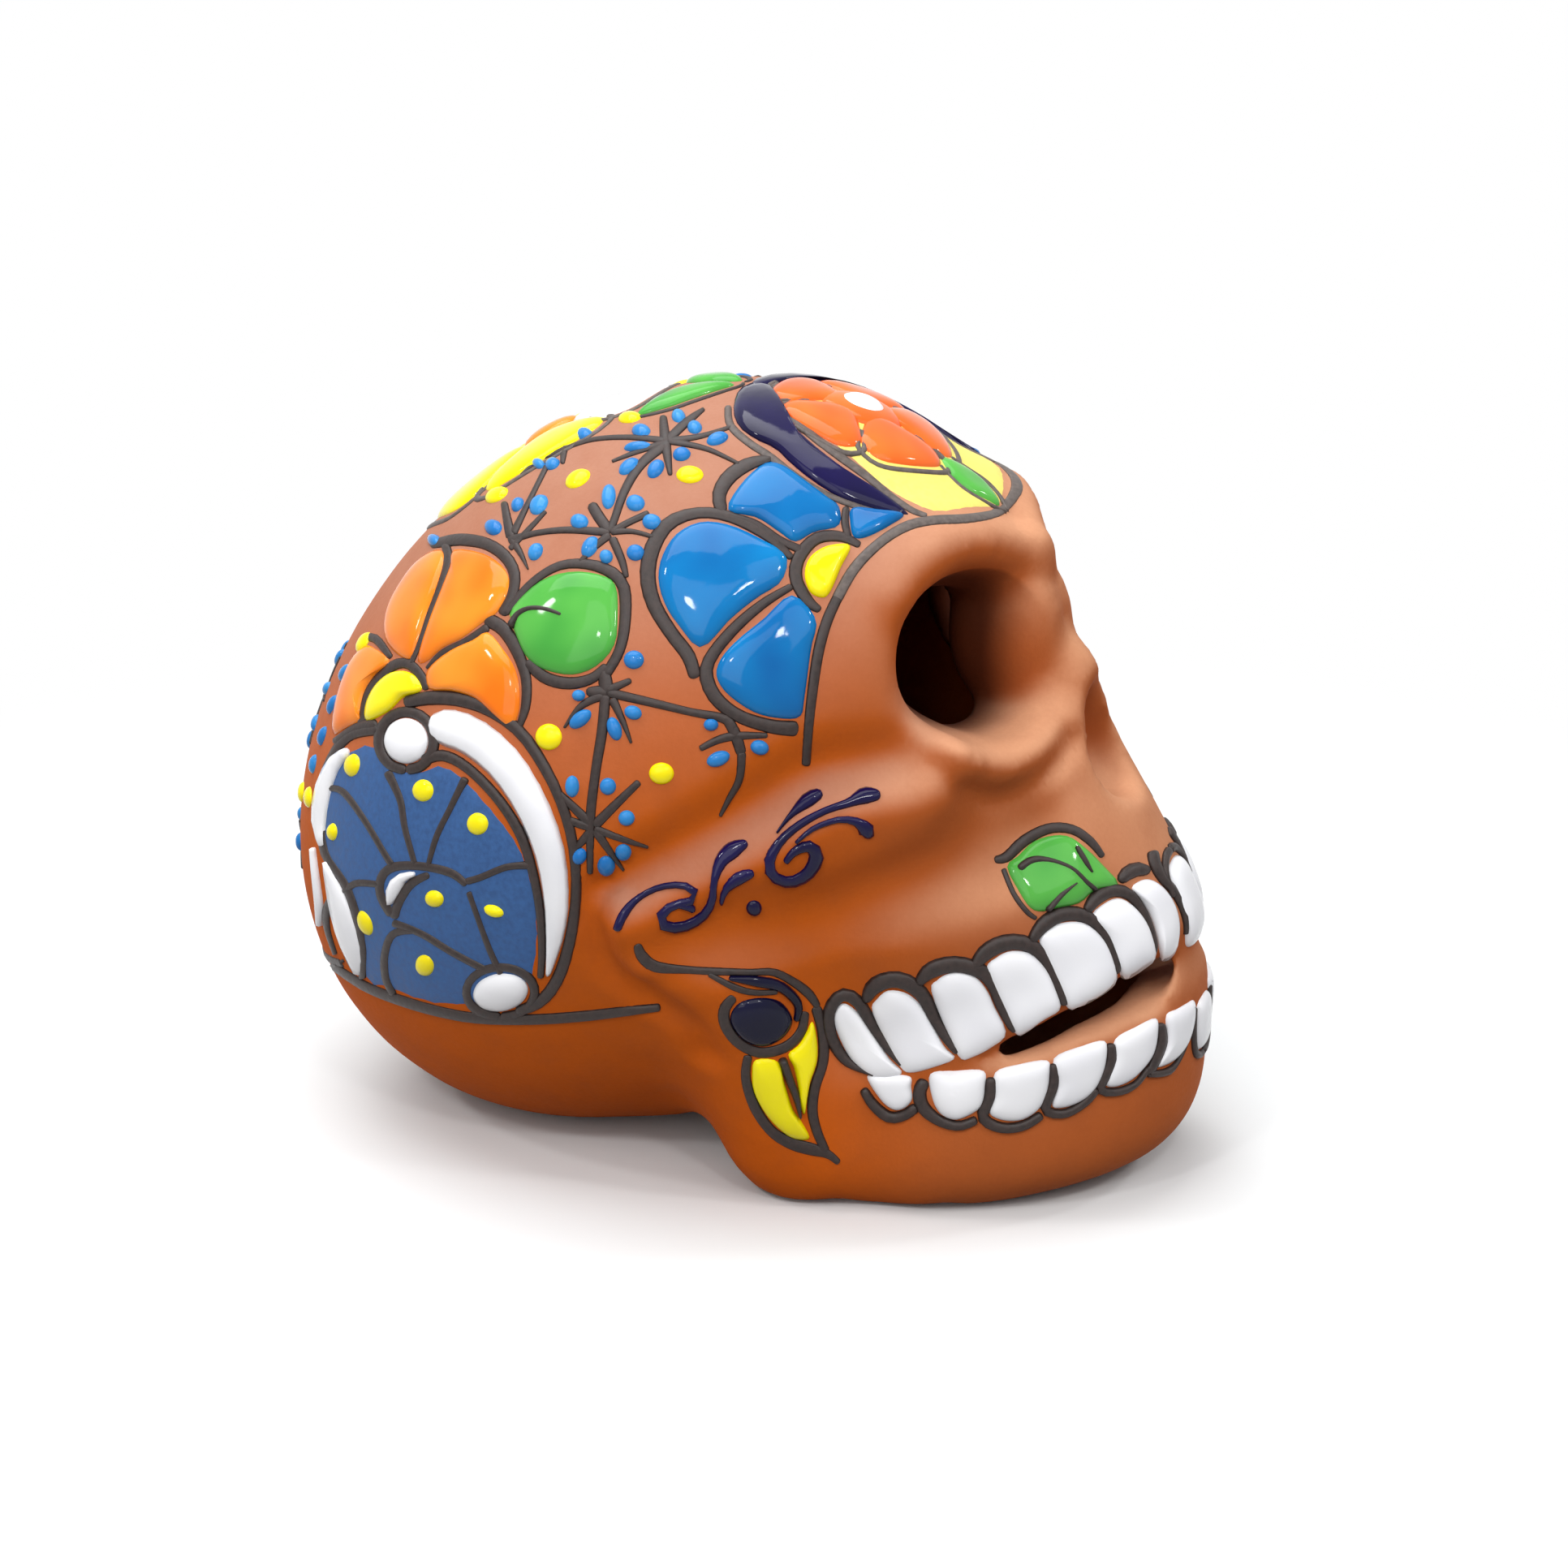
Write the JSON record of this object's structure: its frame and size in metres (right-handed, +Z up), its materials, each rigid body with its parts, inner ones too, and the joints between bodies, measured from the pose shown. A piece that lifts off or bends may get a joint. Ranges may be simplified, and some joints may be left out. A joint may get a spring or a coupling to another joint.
{
  "type": "painted clay skull ornament",
  "caption": "Hollow terracotta skull ornament with open eye sockets, a mouth slot and raised glossy glaze teeth, petals, leaves and bands.",
  "frame": {"origin": "on the floor plane, below the middle of the skull's overall width and length", "axes": "+Z up, the face looks along -Y, +X is the skull's left side, X = 0 is the mirror plane"},
  "size_m": [0.1448, 0.1982, 0.159],
  "materials": {
    "clay": "matte",
    "white_glaze": "gloss",
    "blue_glaze": "gloss",
    "orange_glaze": "gloss",
    "yellow_glaze": "gloss",
    "green_glaze": "gloss",
    "cobalt_glaze": "gloss"
  },
  "bodies": {
    "root": {"clay_skull": "clay", "upper_tooth_1_right": "white_glaze", "upper_tooth_2_right": "white_glaze", "upper_tooth_3_right": "white_glaze", "upper_tooth_4_right": "white_glaze", "upper_tooth_5_right": "white_glaze", "upper_tooth_6_right": "white_glaze", "upper_tooth_7_right": "white_glaze", "lower_tooth_1_right": "white_glaze", "lower_tooth_2_right": "white_glaze", "lower_tooth_3_right": "white_glaze", "lower_tooth_4_right": "white_glaze", "lower_tooth_5_right": "white_glaze", "lower_tooth_6_right": "white_glaze", "blue_petal_back_right": "blue_glaze", "blue_petal_top_right": "blue_glaze", "blue_petal_foot_right": "blue_glaze", "blue_flower_centre_right": "yellow_glaze", "orange_petal_1_right": "orange_glaze", "orange_petal_2_right": "orange_glaze", "orange_petal_3_right": "orange_glaze", "orange_petal_4_right": "orange_glaze", "orange_flower_centre_right": "yellow_glaze", "temple_leaf_right": "green_glaze", "jaw_leaf_right": "yellow_glaze", "lip_leaf_right": "green_glaze", "medallion_crescent_right": "white_glaze", "forehead_band_right": "cobalt_glaze", "upper_tooth_1_left": "white_glaze", "upper_tooth_2_left": "white_glaze", "upper_tooth_3_left": "white_glaze", "upper_tooth_4_left": "white_glaze", "upper_tooth_5_left": "white_glaze", "upper_tooth_6_left": "white_glaze", "upper_tooth_7_left": "white_glaze", "lower_tooth_1_left": "white_glaze", "lower_tooth_2_left": "white_glaze", "lower_tooth_3_left": "white_glaze", "lower_tooth_4_left": "white_glaze", "lower_tooth_5_left": "white_glaze", "lower_tooth_6_left": "white_glaze", "blue_petal_back_left": "blue_glaze", "blue_petal_top_left": "blue_glaze", "blue_petal_foot_left": "blue_glaze", "blue_flower_centre_left": "yellow_glaze", "orange_petal_1_left": "orange_glaze", "orange_petal_2_left": "orange_glaze", "orange_petal_3_left": "orange_glaze", "orange_petal_4_left": "orange_glaze", "orange_flower_centre_left": "yellow_glaze", "temple_leaf_left": "green_glaze", "jaw_leaf_left": "yellow_glaze", "lip_leaf_left": "green_glaze", "medallion_crescent_left": "white_glaze", "forehead_band_left": "cobalt_glaze", "forehead_flower": "orange_glaze", "upper_tooth_middle": "white_glaze", "medallion_bead_right": "white_glaze", "medallion_bead_left": "white_glaze", "forehead_leaf": "green_glaze"}
  },
  "joints": []
}
